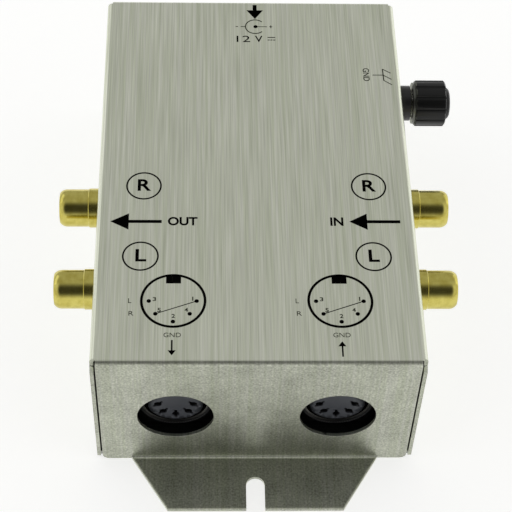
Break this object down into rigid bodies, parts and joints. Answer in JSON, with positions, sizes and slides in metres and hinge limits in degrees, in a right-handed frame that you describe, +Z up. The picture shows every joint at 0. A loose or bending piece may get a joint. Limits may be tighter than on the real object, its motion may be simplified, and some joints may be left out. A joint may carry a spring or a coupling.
{
  "type": "phono preamplifier",
  "caption": "Small folded-metal phono preamplifier with phono and round signal sockets, an earth terminal and two mounting flanges.",
  "frame": {"origin": "middle of the case's underside, level with both flanges' lower faces", "axes": "+X towards the input side, +Y towards the power socket at the back, +Z up"},
  "size_m": [0.089, 0.13, 0.0367],
  "materials": {
    "case_steel": "brushed lengthwise, clear coated",
    "plated_steel": "zinc plated",
    "screw_steel": "nickel plated",
    "gold_plate": "polished gold plate",
    "brass": "turned",
    "nickel": "nickel plated",
    "tin": "tinned",
    "black_moulding": "fine satin",
    "black_knob": "satin",
    "grey_insert": "satin",
    "white_insulator": "smooth",
    "board_laminate": "black solder mask",
    "chip_moulding": "matte",
    "can_sleeve": "shrink sleeve",
    "film_box": "resin box",
    "resistor_coat": "lacquer",
    "wire_jacket": "smooth",
    "earth_jacket": "smooth"
  },
  "bodies": {
    "chassis": {"cover": "case_steel", "base_plate": "plated_steel", "base_screws": "screw_steel", "board_standoffs": "nickel", "board_screws": "screw_steel", "circuit_board": "board_laminate", "phono_nuts": "nickel", "phono_solder_tags": "tin", "power_socket_body": "black_moulding", "power_socket_pin": "nickel", "power_socket_spring": "tin", "ground_stud": "nickel", "ground_collar": "black_moulding", "ground_inner_washer": "black_moulding", "ground_solder_tag": "tin", "ground_nut": "nickel", "left_amplifier_chip": "chip_moulding", "right_amplifier_chip": "chip_moulding", "chip_sockets": "chip_moulding", "reservoir_capacitors": "can_sleeve", "coupling_capacitors": "can_sleeve", "film_capacitors": "film_box", "resistors": "resistor_coat", "voltage_regulator": "chip_moulding", "protection_diode": "chip_moulding", "signal_wires": "wire_jacket", "ground_wire": "earth_jacket", "output_din_body": "black_moulding", "output_din_shield": "nickel", "output_din_contacts": "tin", "output_left_phono_shell": "gold_plate", "output_left_phono_insulator": "white_insulator", "output_left_phono_contact": "gold_plate", "output_right_phono_shell": "gold_plate", "output_right_phono_insulator": "white_insulator", "output_right_phono_contact": "gold_plate", "input_din_body": "black_moulding", "input_din_shield": "nickel", "input_din_contacts": "tin", "input_left_phono_shell": "gold_plate", "input_left_phono_insulator": "white_insulator", "input_left_phono_contact": "gold_plate", "input_right_phono_shell": "gold_plate", "input_right_phono_insulator": "white_insulator", "input_right_phono_contact": "gold_plate"},
    "clamp_ring": {"ground_clamp_ring": "nickel"},
    "knob": {"ground_knob": "black_knob", "ground_knob_insert": "brass"}
  },
  "joints": [
    {"name": "ground_travel", "type": "slide", "parent": "chassis", "child": "clamp_ring", "axis": [1, 0, 0], "range_m": [0, 0.00215]},
    {"name": "ground_turn", "type": "hinge", "parent": "clamp_ring", "child": "knob", "pos_m": [0.041, 0.0274, 0.0277], "axis": [1, 0, 0], "range_deg": [0, 1080]}
  ],
  "couplings": [
    {"joint": "ground_travel", "follows": "ground_turn", "m_per_rad": 0.00011141}
  ]
}
